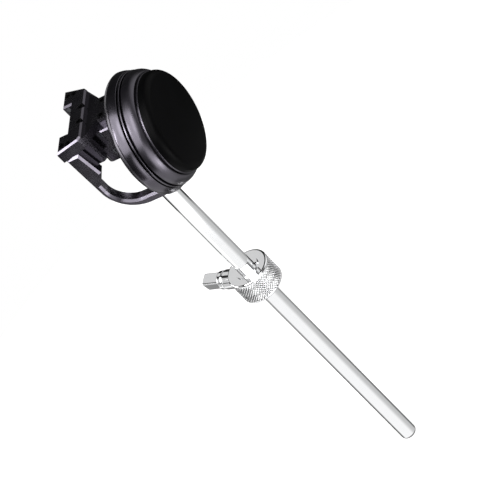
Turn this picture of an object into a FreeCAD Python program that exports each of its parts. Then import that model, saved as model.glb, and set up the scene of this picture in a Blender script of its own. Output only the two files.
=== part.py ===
"""Bass drum beater: a plated shaft with a striking head, the carrier behind it and a sliding weight.

The origin is on the shaft's axis, where its straight wall begins just above the rounded lower end.
+Z runs up the shaft and the head strikes towards -Y.
Across means along X, and forward distances of the head are measured from the shaft's axis towards -Y.
"""
import FreeCAD, Part
import math
import os
import re
import Sketcher

# Driving dimensions in millimetres, and counts and angles where the name says so.
DIMENSIONS = {
    # shaft
    "shaft_dia": 8.0,
    "shaft_end_round": 1.5,
    "shank_length": 48.0,
    "mark_width": 1.2,
    "mark_depth": 0.25,
    "head_height": 226.5,
    "shaft_above_axis": 16.5,
    # neck block and its metal socket
    "neck_half_width": 6.5,
    "neck_back": 8.0,
    "neck_corner": 3.0,
    "neck_below_axis": 1.5,
    "neck_above_axis": 17.9,
    "hub_half_width": 9.6,
    "hub_thickness": 6.4,
    "hub_below_axis": 10.0,
    "hub_edge": 0.6,
    "bush_wall": 1.0,
    "seat_gap": 0.02,
    "set_screw_dia": 3.0,
    "set_screw_proud": 0.7,
    "set_screw_low": 3.5,
    "set_screw_pitch": 11.0,
    # yoke bar across the top rear
    "yoke_thickness": 5.7,
    "yoke_edge": 0.7,
    "yoke_back": 15.1,
    "yoke_half_width": 18.6,
    "ear_front": 4.8,
    "ear_front_half_width": 15.4,
    "tongue_front": 2.9,
    "tongue_end": 3.5,
    "tongue_step": 1.8,
    "notch_half_width": 8.4,
    "notch_depth": 4.3,
    "lug_above_axis": 5.2,
    "lug_edge": 0.9,
    "yoke_screw_across": 4.4,
    "yoke_screw_back": 5.0,
    "yoke_screw_front": 4.8,
    "ear_pin_dia": 2.2,
    "ear_pin_inset": 2.2,
    "ear_pin_drop": 2.0,
    "ear_pin_proud": 0.4,
    "ear_pin_length": 4.4,
    # side bows
    "bow_inside": 12.5,
    "bow_width": 5.7,
    "bow_edge": 0.9,
    "bow_centre_forward": 1.3,
    "bow_centre_below": 5.6,
    "bow_outer_radius": 15.2,
    "bow_inner_radius": 11.0,
    "bow_inner_shift": 1.5,
    "bow_foot_forward": 11.5,
    "arm_back": 14.6,
    "arm_top_front": 8.2,
    "arm_low_front": 6.5,
    "arm_low_above": 4.3,
    "arm_throat_below": 1.8,
    "arm_screw_across": 14.6,
    "arm_screw_back": 9.65,
    "arm_screw_pitch": 3.15,
    # head, as forward distances and radii
    "flange_back": 8.0,
    "flange_back_radius": 23.4,
    "flange_front": 15.7,
    "flange_radius": 27.6,
    "flange_crest": 12.0,
    "flange_front_radius": 26.6,
    "flange_front_curve": 8.0,
    "flange_curve": 6.0,
    "flange_floor": 4.3,
    "core_radius": 20.8,
    "core_thickness": 4.0,
    "ring_radius": 26.3,
    "ring_thickness": 0.8,
    "damping_radius": 18.5,
    "damping_thickness": 3.0,
    "pad_root_radius": 23.8,
    "pad_root_length": 0.5,
    "pad_back_radius": 25.8,
    "pad_front_radius": 24.2,
    "pad_band_length": 5.1,
    "pad_band_curve": 9.0,
    "pad_nose_radius": 21.9,
    "pad_nose_length": 0.7,
    "face_radius": 22.6,
    "face_edge_length": 1.8,
    "face_edge_round": 3.2,
    "face_dome_rise": 0.7,
    # screws
    "hub_screw_across": 7.4,
    "hub_screw_low": 6.5,
    "hub_screw_high": 10.0,
    "hub_screw_dia": 3.0,
    "hub_screw_length": 7.2,
    "core_screw_across": 15.5,
    "core_screw_off_axis": 8.0,
    "core_screw_dia": 3.0,
    "core_screw_length": 7.5,
    "foot_screw_dia": 2.2,
    "foot_screw_length": 12.5,
    "foot_head_height": 2.2,
    "small_screw_dia": 2.2,
    "arm_screw_length": 10.8,
    "yoke_screw_length": 9.0,
    "head_height_share": 0.55,
    "head_radius_share": 0.7,
    "socket_share": 0.42,
    "set_socket_share": 0.3,
    # weight on the shaft
    "weight_height": 128.5,
    "weight_radius": 10.4,
    "weight_length": 13.0,
    "weight_edge": 0.6,
    "running_gap": 0.05,
    "liner_wall": 0.95,
    "liner_lip": 1.0,
    "liner_lip_length": 0.6,
    "liner_split": 0.8,
    "screw_swing": 18.5,
    "screw_bush_radius": 4.55,
    "screw_bush_inner": 6.3,
    "screw_bush_outer": 15.8,
    "key_shank_radius": 2.5,
    "key_flange_gap": 0.5,
    "key_flange_radius": 4.25,
    "key_flange_length": 2.6,
    "key_head_width": 5.7,
    "key_head_roll": 35.0,
    "key_head_length": 9.0,
    "tip_gap": 0.3,
    "tip_length": 1.9,
    "tip_radius": 2.45,
    "tip_seat_gap": 0.05,
    # every cut runs past the face that it opens by this much
    "overrun": 1.0,
}

QUARTER_TURN = 90.0
FULL_TURN = 360.0
HEX_SIDES = 6
SQUARE_SIDES = 4
ORIGIN = -1
START = 1
END = 2
ALIKE = 1e-6

X_AXIS = FreeCAD.Vector(1, 0, 0)
Y_AXIS = FreeCAD.Vector(0, 1, 0)
Z_AXIS = FreeCAD.Vector(0, 0, 1)
UPWARD = FreeCAD.Rotation()
DOWNWARD = FreeCAD.Rotation(X_AXIS, 2 * QUARTER_TURN)
FORWARD = FreeCAD.Rotation(X_AXIS, QUARTER_TURN)
BACKWARD = FreeCAD.Rotation(X_AXIS, -QUARTER_TURN)
RIGHTWARD = FreeCAD.Rotation(Y_AXIS, QUARTER_TURN)
LEFTWARD = FreeCAD.Rotation(Y_AXIS, -QUARTER_TURN)

doc = FreeCAD.newDocument("bass_drum_beater")
sheet = doc.addObject("Spreadsheet::Sheet", "dims")
for row, (alias, size) in enumerate(DIMENSIONS.items(), start=1):
    sheet.set(f"A{row}", alias)
    sheet.set(f"B{row}", str(size))
    sheet.setAlias(f"B{row}", alias)
doc.recompute()


def formula(text):
    """Turns plain dimension names into references to the sheet's cells."""
    def bound(found):
        return f"dims.{found[0]}" if found[0] in DIMENSIONS else found[0]

    return re.sub(r"[a-z_]+", bound, text)


def value(text):
    """Works a formula out as a number."""
    return float(sheet.evalExpression(formula(text)))


def place(piece, x="0", y="0", z="0", turn=UPWARD):
    """Turns a piece and binds its position to the sheet."""
    piece.Placement = FreeCAD.Placement(FreeCAD.Vector(), turn)
    for axis, text in zip("xyz", (x, y, z)):
        piece.setExpression(f"Placement.Base.{axis}", formula(text))
    return piece


def box(name, x, y, z):
    """Box between two formulas along each axis."""
    piece = doc.addObject("Part::Box", name)
    for side, (low, high) in zip(("Length", "Width", "Height"), (x, y, z)):
        piece.setExpression(side, formula(f"({high}) - ({low})"))
    return place(piece, x[0], y[0], z[0])


def cylinder(name, radius, length, x="0", y="0", z="0", turn=UPWARD):
    """Cylinder that starts at a point and runs the way that it is turned."""
    piece = doc.addObject("Part::Cylinder", name)
    piece.setExpression("Radius", formula(radius))
    piece.setExpression("Height", formula(length))
    return place(piece, x, y, z, turn)


def fuse(name, *pieces):
    """Joins pieces into one."""
    joined = doc.addObject("Part::MultiFuse", name)
    joined.Shapes = list(pieces)
    joined.Refine = True
    return joined


def cut(name, base, *tools):
    """Takes each tool out of a piece in turn."""
    for count, tool in enumerate(tools):
        last = count == len(tools) - 1
        left = doc.addObject("Part::Cut", name if last else f"{name}_less_{tool.Name}")
        left.Base = base
        left.Tool = tool
        left.Refine = True
        base = left
    return base


def group(name, pieces):
    """Keeps identical pieces together as separate solids."""
    together = doc.addObject("Part::Compound", name)
    together.Links = pieces
    return together


def edge_between(start, end, radius):
    """Line, or an arc that bulges out of the outline, or into it where the radius is negative."""
    if radius is None:
        return Part.LineSegment(start, end)
    first, second = (start, end) if radius > 0 else (end, start)
    chord = second - first
    rise = math.sqrt(radius**2 - (chord.Length / 2) ** 2)
    aside = FreeCAD.Vector(-chord.y, chord.x, 0).normalize()
    centre = (first + second) / 2 + aside * rise
    angles = [math.atan2(point.y - centre.y, point.x - centre.x) for point in (first, second)]
    return Part.ArcOfCircle(Part.Circle(centre, Z_AXIS, abs(radius)), *angles)


def outline(body, role, corners):
    """Closed sketch, anticlockwise, with each corner held to the sheet.

    A corner is two formulas, and a third where an arc of that radius leads to the next corner.
    """
    sketch = body.newObject("Sketcher::SketchObject", f"{body.Name}_outline")
    plane = next(feature for feature in body.Origin.OriginFeatures if feature.Role == role)
    sketch.AttachmentSupport = (plane, [""])
    sketch.MapMode = "FlatFace"
    points = [FreeCAD.Vector(value(corner[0]), value(corner[1]), 0) for corner in corners]
    radii = [value(corner[2]) if len(corner) > 2 else None for corner in corners]
    following = points[1:] + points[:1]
    for start, end, radius in zip(points, following, radii):
        sketch.addGeometry(edge_between(start, end, radius), False)
    hollow = [radius is not None and radius < 0 for radius in radii]
    for here in range(len(corners)):
        after = (here + 1) % len(corners)
        leaving = START if hollow[here] else END
        arriving = END if hollow[after] else START
        sketch.addConstraint(Sketcher.Constraint("Coincident", here, leaving, after, arriving))
    for here, corner in enumerate(corners):
        near = END if hollow[here] else START
        held = [
            (Sketcher.Constraint("DistanceX", ORIGIN, START, here, near, points[here].x), corner[0]),
            (Sketcher.Constraint("DistanceY", ORIGIN, START, here, near, points[here].y), corner[1]),
        ]
        if radii[here] is not None:
            size = f"-({corner[2]})" if hollow[here] else corner[2]
            held.append((Sketcher.Constraint("Radius", here, abs(radii[here])), size))
        for constraint, text in held:
            index = sketch.addConstraint(constraint)
            sketch.setExpression(f"Constraints[{index}]", formula(text))
    return sketch


def turned(name, corners):
    """Solid of revolution about Z, from corners given as radius and height."""
    body = doc.addObject("PartDesign::Body", name)
    sketch = outline(body, "XZ_Plane", corners)
    revolution = body.newObject("PartDesign::Revolution", f"{name}_turned")
    revolution.Profile = sketch
    revolution.ReferenceAxis = (sketch, ["V_Axis"])
    revolution.Angle = FULL_TURN
    return body


def slab(name, role, corners, thickness):
    """Flat piece with an outline on one of its origin planes."""
    body = doc.addObject("PartDesign::Body", name)
    sketch = outline(body, role, corners)
    pad = body.newObject("PartDesign::Pad", f"{name}_thickness")
    pad.Profile = sketch
    pad.setExpression("Length", formula(thickness))
    return body


def break_edges(body, size, *headings):
    """Chamfers every edge of the flat faces of a slab that look along one of the headings."""
    doc.recompute()
    pad = body.Tip
    centre = (0, 0)
    names = [
        f"Face{count}"
        for count, face in enumerate(pad.Shape.Faces, start=1)
        if any(face.normalAt(*centre).isEqual(heading, ALIKE) for heading in headings)
    ]
    chamfer = body.newObject("PartDesign::Chamfer", f"{body.Name}_edges")
    chamfer.Base = (pad, names)
    chamfer.setExpression("Size", formula(size))
    body.Tip = chamfer
    return body


def prism(name, sides, circumradius, length, x="0", y="0", z="0", turn=UPWARD):
    """Regular prism that starts at a point and runs the way that it is turned."""
    piece = doc.addObject("Part::Prism", name)
    piece.Polygon = sides
    piece.setExpression("Circumradius", formula(circumradius))
    piece.setExpression("Height", formula(length))
    return place(piece, x, y, z, turn)


def on_head_axis(piece):
    """Stands a turned piece on the head's axis, with its heights as forward distances."""
    return place(piece, z="head_height", turn=FORWARD)


def shifted(distance, x, y, z, turn):
    """Position moved along the way that a piece is turned."""
    heading = turn.multVec(Z_AXIS)
    return [f"{text} + {round(part)} * ({distance})" for text, part in zip((x, y, z), heading)]


def screw(name, dia, length, at, turn, head_height=None):
    """Screw whose head's underside is at a point, and its blank, which cuts its holes.

    The shank runs the way that the screw is turned.
    """
    head_height = head_height or f"{dia} * head_height_share"
    shank = cylinder(f"{name}_shank", f"{dia} / 2", length, *at, turn)
    head_end = shifted(f"-({head_height})", *at, turn)
    head = cylinder(f"{name}_head", f"{dia} * head_radius_share", head_height, *head_end, turn)
    blank = fuse(f"{name}_blank", head, shank)
    depth = f"({head_height}) / 2 + overrun"
    socket_end = shifted("-overrun", *head_end, turn)
    socket = prism(f"{name}_socket", HEX_SIDES, f"{dia} * socket_share", depth, *socket_end, turn)
    return cut(name, blank, socket), blank


# Shaft

SHAFT_RADIUS = "shaft_dia / 2"
SHAFT_TOP = "head_height + shaft_above_axis"
MARK_HIGH = "shank_length + mark_width"
shaft = turned("shaft", [
    ("0", "-shaft_end_round"),
    (f"{SHAFT_RADIUS} - shaft_end_round", "-shaft_end_round", "shaft_end_round"),
    (SHAFT_RADIUS, "0"),
    (SHAFT_RADIUS, "shank_length"),
    (f"{SHAFT_RADIUS} - mark_depth", "shank_length"),
    (f"{SHAFT_RADIUS} - mark_depth", MARK_HIGH),
    (SHAFT_RADIUS, MARK_HIGH),
    (SHAFT_RADIUS, SHAFT_TOP),
    ("0", SHAFT_TOP),
])

# Screws and pins, which also cut their own holes

BOTH_SIDES = {"left": "-1", "right": "1"}
BOW_MIDDLE = "(bow_inside + bow_width / 2)"
FOOT_BELOW = "(bow_centre_below + (bow_outer_radius + bow_inner_radius) / 2)"
NECK_TOP = "head_height + neck_above_axis"
YOKE_TOP = f"{NECK_TOP} + yoke_thickness"
HUB_BACK = "hub_thickness - flange_back"
HUB_SCREW_SEAT = "hub_screw_dia * head_height_share - flange_back - flange_floor"
SUNK_HEAD = "small_screw_dia * head_height_share"

set_screw_list = []
set_screw_blanks = []
for level, count in (("low", "0"), ("high", "1")):
    height = f"head_height + set_screw_low + {count} * set_screw_pitch"
    length = f"neck_half_width - {SHAFT_RADIUS} - seat_gap + set_screw_proud"
    outer = "-neck_half_width - set_screw_proud"
    stem = cylinder(f"set_stem_{level}", "set_screw_dia / 2", length, outer, "0", height, RIGHTWARD)
    socket = prism(
        f"set_socket_{level}", HEX_SIDES, "set_screw_dia * set_socket_share",
        "set_screw_proud + overrun", f"{outer} - overrun", "0", height, RIGHTWARD,
    )
    set_screw_blanks.append(stem)
    set_screw_list.append(cut(f"set_screw_{level}", stem, socket))

hub_screw_list = []
core_screw_list = []
foot_screw_list = []
arm_screw_list = []
yoke_screw_list = []
ear_pin_list = []
for side, sign in BOTH_SIDES.items():
    for level, rise in (("low", "-hub_screw_low"), ("high", "hub_screw_high")):
        at = (f"{sign} * hub_screw_across", HUB_SCREW_SEAT, f"head_height + {rise}")
        hub_screw_list.append(
            screw(f"hub_screw_{side}_{level}", "hub_screw_dia", "hub_screw_length", at, BACKWARD)
        )
    for level, rise in (("low", "-core_screw_off_axis"), ("high", "core_screw_off_axis")):
        at = (f"{sign} * core_screw_across", "-flange_back", f"head_height + {rise}")
        core_screw_list.append(
            screw(f"core_screw_{side}_{level}", "core_screw_dia", "core_screw_length", at, FORWARD)
        )
    at = (f"{sign} * {BOW_MIDDLE}", "foot_head_height - flange_front", f"head_height - {FOOT_BELOW}")
    foot_screw_list.append(
        screw(f"foot_screw_{side}", "foot_screw_dia", "foot_screw_length", at, BACKWARD, "foot_head_height")
    )
    for row_name, count in (("front", "0"), ("back", "1")):
        along = f"arm_screw_back + {count} * arm_screw_pitch"
        at = (f"{sign} * arm_screw_across", along, f"{YOKE_TOP} - {SUNK_HEAD}")
        arm_screw_list.append(
            screw(f"arm_screw_{side}_{row_name}", "small_screw_dia", "arm_screw_length", at, DOWNWARD)
        )
    for row_name, along, top in (
        ("front", "-yoke_screw_front", f"{YOKE_TOP} - tongue_step"),
        ("back", "yoke_screw_back", YOKE_TOP),
    ):
        at = (f"{sign} * yoke_screw_across", along, f"{top} - {SUNK_HEAD}")
        yoke_screw_list.append(
            screw(f"yoke_screw_{side}_{row_name}", "small_screw_dia", "yoke_screw_length", at, DOWNWARD)
        )
    at = (
        f"{sign} * (notch_half_width - ear_pin_proud)",
        "yoke_back - ear_pin_inset",
        f"{YOKE_TOP} - ear_pin_drop",
    )
    outward = RIGHTWARD if side == "right" else LEFTWARD
    ear_pin_list.append(cylinder(f"ear_pin_{side}", "ear_pin_dia / 2", "ear_pin_length", *at, outward))


def screw_group(name, pairs):
    """Node of screws, and the group of their blanks that cuts the holes."""
    return group(name, [pair[0] for pair in pairs]), group(f"{name}_holes", [pair[1] for pair in pairs])


set_screws, set_screw_holes = screw_group("set_screws", list(zip(set_screw_list, set_screw_blanks)))
hub_screws, hub_screw_holes = screw_group("hub_screws", hub_screw_list)
core_screws, core_screw_holes = screw_group("core_screws", core_screw_list)
foot_screws, foot_screw_holes = screw_group("foot_screws", foot_screw_list)
arm_screws, arm_screw_holes = screw_group("arm_screws", arm_screw_list)
yoke_screws, yoke_screw_holes = screw_group("yoke_screws", yoke_screw_list)
ear_pins = group("ear_pins", ear_pin_list)

# Neck block behind the head, with the metal socket that holds the shaft's top

BUSH_RADIUS = f"{SHAFT_RADIUS} + seat_gap + bush_wall"
NECK_LOW = "head_height - neck_below_axis"
SOCKET_DEPTH = "neck_below_axis + shaft_above_axis"
post = slab("neck_post", "XY_Plane", [
    ("-neck_half_width", HUB_BACK),
    ("neck_half_width", HUB_BACK),
    ("neck_half_width", "neck_back - neck_corner", "neck_corner"),
    ("neck_half_width - neck_corner", "neck_back"),
    ("neck_corner - neck_half_width", "neck_back", "neck_corner"),
    ("-neck_half_width", "neck_back - neck_corner"),
], "neck_above_axis + neck_below_axis")
place(post, z=NECK_LOW)
hub = slab("hub_plate", "YZ_Plane", [
    ("-flange_back", "-hub_below_axis"),
    (HUB_BACK, "-hub_below_axis"),
    (HUB_BACK, "neck_above_axis"),
    ("-flange_back", "neck_above_axis"),
], "2 * hub_half_width")
break_edges(hub, "hub_edge", X_AXIS, -X_AXIS)
place(hub, x="-hub_half_width", z="head_height")
socket_bore = cylinder(
    "socket_bore", BUSH_RADIUS, "hub_below_axis + shaft_above_axis + overrun",
    z="head_height - hub_below_axis - overrun",
)
neck_solid = fuse("neck_solid", post, hub)
neck_block = cut("neck_block", neck_solid, socket_bore, set_screw_holes, hub_screw_holes, yoke_screw_holes)

bush_solid = turned("bush_solid", [
    (f"{SHAFT_RADIUS} + seat_gap", "0"),
    (BUSH_RADIUS, "0"),
    (BUSH_RADIUS, SOCKET_DEPTH),
    (f"{SHAFT_RADIUS} + seat_gap", SOCKET_DEPTH),
])
place(bush_solid, z=NECK_LOW)
socket_bush = cut("socket_bush", bush_solid, set_screw_holes)

# Yoke bar on top of the neck, with its two ears, the notch between them and a lug under each ear

yoke_plate = slab("yoke_plate", "XY_Plane", [
    ("-neck_half_width", "-flange_back"),
    ("neck_half_width", "-flange_back"),
    ("neck_half_width", "-tongue_front"),
    ("ear_front_half_width", "ear_front"),
    ("yoke_half_width", "yoke_back"),
    ("notch_half_width", "yoke_back"),
    ("notch_half_width", "yoke_back - notch_depth"),
    ("-notch_half_width", "yoke_back - notch_depth"),
    ("-notch_half_width", "yoke_back"),
    ("-yoke_half_width", "yoke_back"),
    ("-ear_front_half_width", "ear_front"),
    ("-neck_half_width", "-tongue_front"),
], "yoke_thickness")
break_edges(yoke_plate, "yoke_edge", Z_AXIS)
place(yoke_plate, z=NECK_TOP)
lugs = []
for side, sign in BOTH_SIDES.items():
    lug = slab(f"lug_{side}", "XY_Plane", [
        (f"{sign} * notch_half_width", "tongue_end"),
        (f"{sign} * (bow_inside - lug_edge)", "tongue_end"),
        (f"{sign} * bow_inside", "tongue_end + lug_edge"),
        (f"{sign} * bow_inside", "yoke_back"),
        (f"{sign} * notch_half_width", "yoke_back"),
    ], "neck_above_axis - lug_above_axis")
    lugs.append(place(lug, z="head_height + lug_above_axis"))
tongue_recess = slab("tongue_recess", "YZ_Plane", [
    ("-flange_back - overrun", "yoke_thickness - tongue_step"),
    ("tongue_end", "yoke_thickness - tongue_step"),
    ("tongue_end", "yoke_thickness - yoke_edge"),
    ("tongue_end + yoke_edge", "yoke_thickness"),
    ("tongue_end + yoke_edge", "yoke_thickness + overrun"),
    ("-flange_back - overrun", "yoke_thickness + overrun"),
], "2 * yoke_half_width")
place(tongue_recess, x="-yoke_half_width", z=NECK_TOP)
yoke_solid = fuse("yoke_solid", yoke_plate, *lugs)
yoke_bar = cut("yoke_bar", yoke_solid, tongue_recess, arm_screw_holes, ear_pins, yoke_screw_holes)

# Head: a dished back flange, a stiff core, a thin clamp ring, felt, a rubber pad and a domed face

CORE_BACK = "flange_back + flange_floor"
CORE_FRONT = f"{CORE_BACK} + core_thickness"
RING_FRONT = f"{CORE_FRONT} + ring_thickness"
PAD_BACK = f"{RING_FRONT} + pad_root_length"
PAD_FRONT = f"{PAD_BACK} + pad_band_length"
FACE_BACK = f"{PAD_FRONT} + pad_nose_length"
FACE_EDGE = f"{FACE_BACK} + face_edge_length"
FACE_FLAT = f"{FACE_EDGE} + face_edge_round"
FACE_FLAT_RADIUS = "(face_radius - face_edge_round)"
DAMPING_FRONT = f"{CORE_FRONT} + damping_thickness"

flange_blank = on_head_axis(turned("flange_blank", [
    ("0", "flange_back"),
    ("flange_back_radius", "flange_back", "flange_curve"),
    ("flange_radius", "flange_crest", "flange_front_curve"),
    ("flange_front_radius", "flange_front"),
    ("core_radius + seat_gap", "flange_front"),
    ("core_radius + seat_gap", CORE_BACK),
    ("0", CORE_BACK),
]))
back_flange = cut("back_flange", flange_blank, hub_screw_holes, core_screw_holes, foot_screw_holes)
core_solid = on_head_axis(turned("core_solid", [
    ("0", CORE_BACK),
    ("core_radius", CORE_BACK),
    ("core_radius", CORE_FRONT),
    ("0", CORE_FRONT),
]))
core_plate = cut("core_plate", core_solid, core_screw_holes)
clamp_ring = on_head_axis(turned("clamp_ring", [
    ("damping_radius + seat_gap", CORE_FRONT),
    ("ring_radius", CORE_FRONT),
    ("ring_radius", RING_FRONT),
    ("damping_radius + seat_gap", RING_FRONT),
]))
damping_disc = on_head_axis(turned("damping_disc", [
    ("0", CORE_FRONT),
    ("damping_radius", CORE_FRONT),
    ("damping_radius", DAMPING_FRONT),
    ("0", DAMPING_FRONT),
]))
strike_pad = on_head_axis(turned("strike_pad", [
    ("0", DAMPING_FRONT),
    ("damping_radius + seat_gap", DAMPING_FRONT),
    ("damping_radius + seat_gap", RING_FRONT),
    ("pad_root_radius", RING_FRONT),
    ("pad_root_radius", PAD_BACK),
    ("pad_back_radius", PAD_BACK, "pad_band_curve"),
    ("pad_front_radius", PAD_FRONT),
    ("pad_nose_radius", PAD_FRONT),
    ("pad_nose_radius", FACE_BACK),
    ("0", FACE_BACK),
]))
face_disc = on_head_axis(turned("face_disc", [
    ("0", FACE_BACK),
    ("face_radius", FACE_BACK),
    ("face_radius", FACE_EDGE, "face_edge_round"),
    (FACE_FLAT_RADIUS, FACE_FLAT, f"({FACE_FLAT_RADIUS}^2 + face_dome_rise^2) / (2 * face_dome_rise)"),
    ("0", f"{FACE_FLAT} + face_dome_rise"),
]))

# Side bows, from the ears down and forward to the flange

BOW_INNER_BACK = "(bow_inner_shift - bow_centre_forward)"
bows = {}
for side, near in (("left", "-bow_inside - bow_width"), ("right", "bow_inside")):
    strap = slab(f"bow_{side}_strap", "YZ_Plane", [
        ("-bow_foot_forward", "-bow_centre_below - bow_outer_radius"),
        ("-bow_centre_forward", "-bow_centre_below - bow_outer_radius", "bow_outer_radius"),
        ("bow_outer_radius - bow_centre_forward", "-bow_centre_below"),
        ("arm_back", "neck_above_axis"),
        ("arm_top_front", "neck_above_axis"),
        ("arm_low_front", "arm_low_above"),
        (f"bow_inner_radius + {BOW_INNER_BACK}", "-arm_throat_below"),
        (f"bow_inner_radius + {BOW_INNER_BACK}", "-bow_centre_below", "-bow_inner_radius"),
        (BOW_INNER_BACK, "-bow_centre_below - bow_inner_radius"),
        ("-bow_foot_forward", "-bow_centre_below - bow_inner_radius"),
    ], "bow_width")
    break_edges(strap, "bow_edge", X_AXIS, -X_AXIS)
    place(strap, x=near, z="head_height")
    bows[side] = cut(f"bow_{side}", strap, flange_blank, foot_screw_holes, arm_screw_holes)

# Weight: a split liner that slides on the shaft, a collar that turns on it, and the screw that locks both

LINER_BORE = f"{SHAFT_RADIUS} + running_gap"
LINER_RADIUS = f"{LINER_BORE} + liner_wall"
LIP_RADIUS = f"{LINER_RADIUS} + liner_lip"
LIP_INSIDE = "(weight_length / 2 + running_gap)"
LIP_OUTSIDE = f"({LIP_INSIDE} + liner_lip_length)"
liner_solid = place(turned("liner_solid", [
    (LINER_BORE, f"-{LIP_OUTSIDE}"),
    (LIP_RADIUS, f"-{LIP_OUTSIDE}"),
    (LIP_RADIUS, f"-{LIP_INSIDE}"),
    (LINER_RADIUS, f"-{LIP_INSIDE}"),
    (LINER_RADIUS, LIP_INSIDE),
    (LIP_RADIUS, LIP_INSIDE),
    (LIP_RADIUS, LIP_OUTSIDE),
    (LINER_BORE, LIP_OUTSIDE),
]), z="weight_height")
liner_slot = box(
    "liner_slot", ("-liner_split / 2", "liner_split / 2"), (f"-({LIP_RADIUS}) - overrun", "0"),
    (f"weight_height - {LIP_OUTSIDE} - overrun", f"weight_height + {LIP_OUTSIDE} + overrun"),
)
collar_liner = cut("collar_liner", liner_solid, liner_slot)

OUTWARD = FreeCAD.Rotation(Z_AXIS, -value("screw_swing")).multiply(BACKWARD)
ROLLED_OUTWARD = OUTWARD.multiply(FreeCAD.Rotation(Z_AXIS, value("key_head_roll")))
TIP_INNER = f"{LINER_RADIUS} + tip_gap"
TIP_OUTER = f"{TIP_INNER} + tip_length"
KEY_FLANGE_INNER = "screw_bush_outer + key_flange_gap"
KEY_FLANGE_OUTER = f"{KEY_FLANGE_INNER} + key_flange_length"


def along_screw(make, name, *size, inner, outer, turn=OUTWARD):
    """Piece on the key screw's axis, between two distances from the shaft's axis."""
    x = f"({inner}) * sin(screw_swing * 1 deg)"
    y = f"({inner}) * cos(screw_swing * 1 deg)"
    return make(name, *size, f"({outer}) - ({inner})", x, y, "weight_height", turn)


COLLAR_HALF = "weight_length / 2"
collar_solid = place(turned("collar_solid", [
    (f"{LINER_RADIUS} + running_gap", f"-{COLLAR_HALF}"),
    ("weight_radius - weight_edge", f"-{COLLAR_HALF}"),
    ("weight_radius", f"weight_edge - {COLLAR_HALF}"),
    ("weight_radius", f"{COLLAR_HALF} - weight_edge"),
    ("weight_radius - weight_edge", COLLAR_HALF),
    (f"{LINER_RADIUS} + running_gap", COLLAR_HALF),
]), z="weight_height")
bush_hole = along_screw(
    cylinder, "bush_hole", "screw_bush_radius", inner="screw_bush_inner", outer="weight_radius + overrun",
)
tip_hole = along_screw(
    cylinder, "tip_hole", "tip_radius + running_gap", inner="0", outer="screw_bush_inner + overrun",
)
weight_collar = cut("weight_collar", collar_solid, bush_hole, tip_hole)

bush_tube = along_screw(
    cylinder, "bush_tube", "screw_bush_radius", inner="screw_bush_inner", outer="screw_bush_outer",
)
bush_bore = along_screw(
    cylinder, "bush_bore", "key_shank_radius + running_gap",
    inner="screw_bush_inner - overrun", outer="screw_bush_outer + overrun",
)
screw_bush = cut("screw_bush", bush_tube, bush_bore)

key_screw = fuse(
    "key_screw",
    along_screw(
        cylinder, "key_shank", "key_shank_radius",
        inner=f"{TIP_OUTER} + tip_seat_gap", outer=KEY_FLANGE_OUTER,
    ),
    along_screw(
        cylinder, "key_flange", "key_flange_radius", inner=KEY_FLANGE_INNER, outer=KEY_FLANGE_OUTER,
    ),
    along_screw(
        prism, "key_head", SQUARE_SIDES, "key_head_width / sqrt(2)",
        inner=KEY_FLANGE_OUTER, outer=f"{KEY_FLANGE_OUTER} + key_head_length", turn=ROLLED_OUTWARD,
    ),
)
tip_pad = along_screw(cylinder, "tip_pad", "tip_radius", inner=TIP_INNER, outer=TIP_OUTER)

# Every node, checked and written under its own name

NODES = [
    shaft, socket_bush, set_screws, neck_block, hub_screws, yoke_bar, yoke_screws, ear_pins,
    bows["left"], bows["right"], arm_screws, foot_screws,
    back_flange, core_screws, core_plate, clamp_ring, damping_disc, strike_pad, face_disc,
    collar_liner, weight_collar, screw_bush, key_screw, tip_pad,
]

doc.recompute()
for piece in doc.Objects:
    if {"Invalid", "Error"} & set(piece.State):
        raise RuntimeError(f"{piece.Name} failed: {piece.State}")
for node in NODES:
    node.Label = node.Name
    if node.Shape.isNull() or not node.Shape.isValid():
        raise RuntimeError(f"{node.Label} has no valid shape")
os.makedirs("parts", exist_ok=True)
for node in NODES:
    node.Shape.exportStep(f"parts/{node.Label}.step")
    print(f"{node.Label}: {len(node.Shape.Solids)} solids, {node.Shape.Volume:.1f} mm3")
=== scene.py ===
"""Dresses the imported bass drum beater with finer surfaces, real finishes, a studio and a camera."""
import logging
import math
from collections.abc import Mapping, Sequence
from dataclasses import dataclass
from enum import Enum

import bpy
import numpy as np
from mathutils import Matrix


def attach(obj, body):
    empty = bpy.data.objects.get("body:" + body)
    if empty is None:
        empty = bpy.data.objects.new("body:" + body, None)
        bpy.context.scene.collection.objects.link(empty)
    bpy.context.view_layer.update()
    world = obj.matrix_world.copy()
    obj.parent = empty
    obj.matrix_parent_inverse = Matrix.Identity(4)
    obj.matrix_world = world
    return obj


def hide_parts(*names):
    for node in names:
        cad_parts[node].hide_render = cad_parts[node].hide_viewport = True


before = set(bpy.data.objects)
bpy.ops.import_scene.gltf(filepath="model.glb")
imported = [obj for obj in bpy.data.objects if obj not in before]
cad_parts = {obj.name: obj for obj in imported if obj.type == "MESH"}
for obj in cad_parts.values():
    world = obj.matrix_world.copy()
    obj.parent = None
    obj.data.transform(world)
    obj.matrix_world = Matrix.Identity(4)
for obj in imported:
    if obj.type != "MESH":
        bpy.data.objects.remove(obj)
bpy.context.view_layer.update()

LOG = logging.getLogger("beater")
MM = 0.001
FULL_TURN = 2 * math.pi
SHARP_FROM = math.radians(40.0)
SAME_POINT = 1e-6
WHITE = "#ffffff"


class Ends(Enum):
    """How the first and last rows of a round grid are closed."""

    POLES = "each of the two rows is one point on the axis"
    RING = "the last row joins the first, as on a tube with a wall"


class Pattern(Enum):
    """What the relief of a finish follows."""

    POLISHED = "lines round the upright axis, left by the polishing wheel"
    SPARKED = "even grain of a spark-eroded mould"
    TUMBLED = "soft dents of small parts finished in a barrel"
    MATTED = "tangled fibres"


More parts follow.
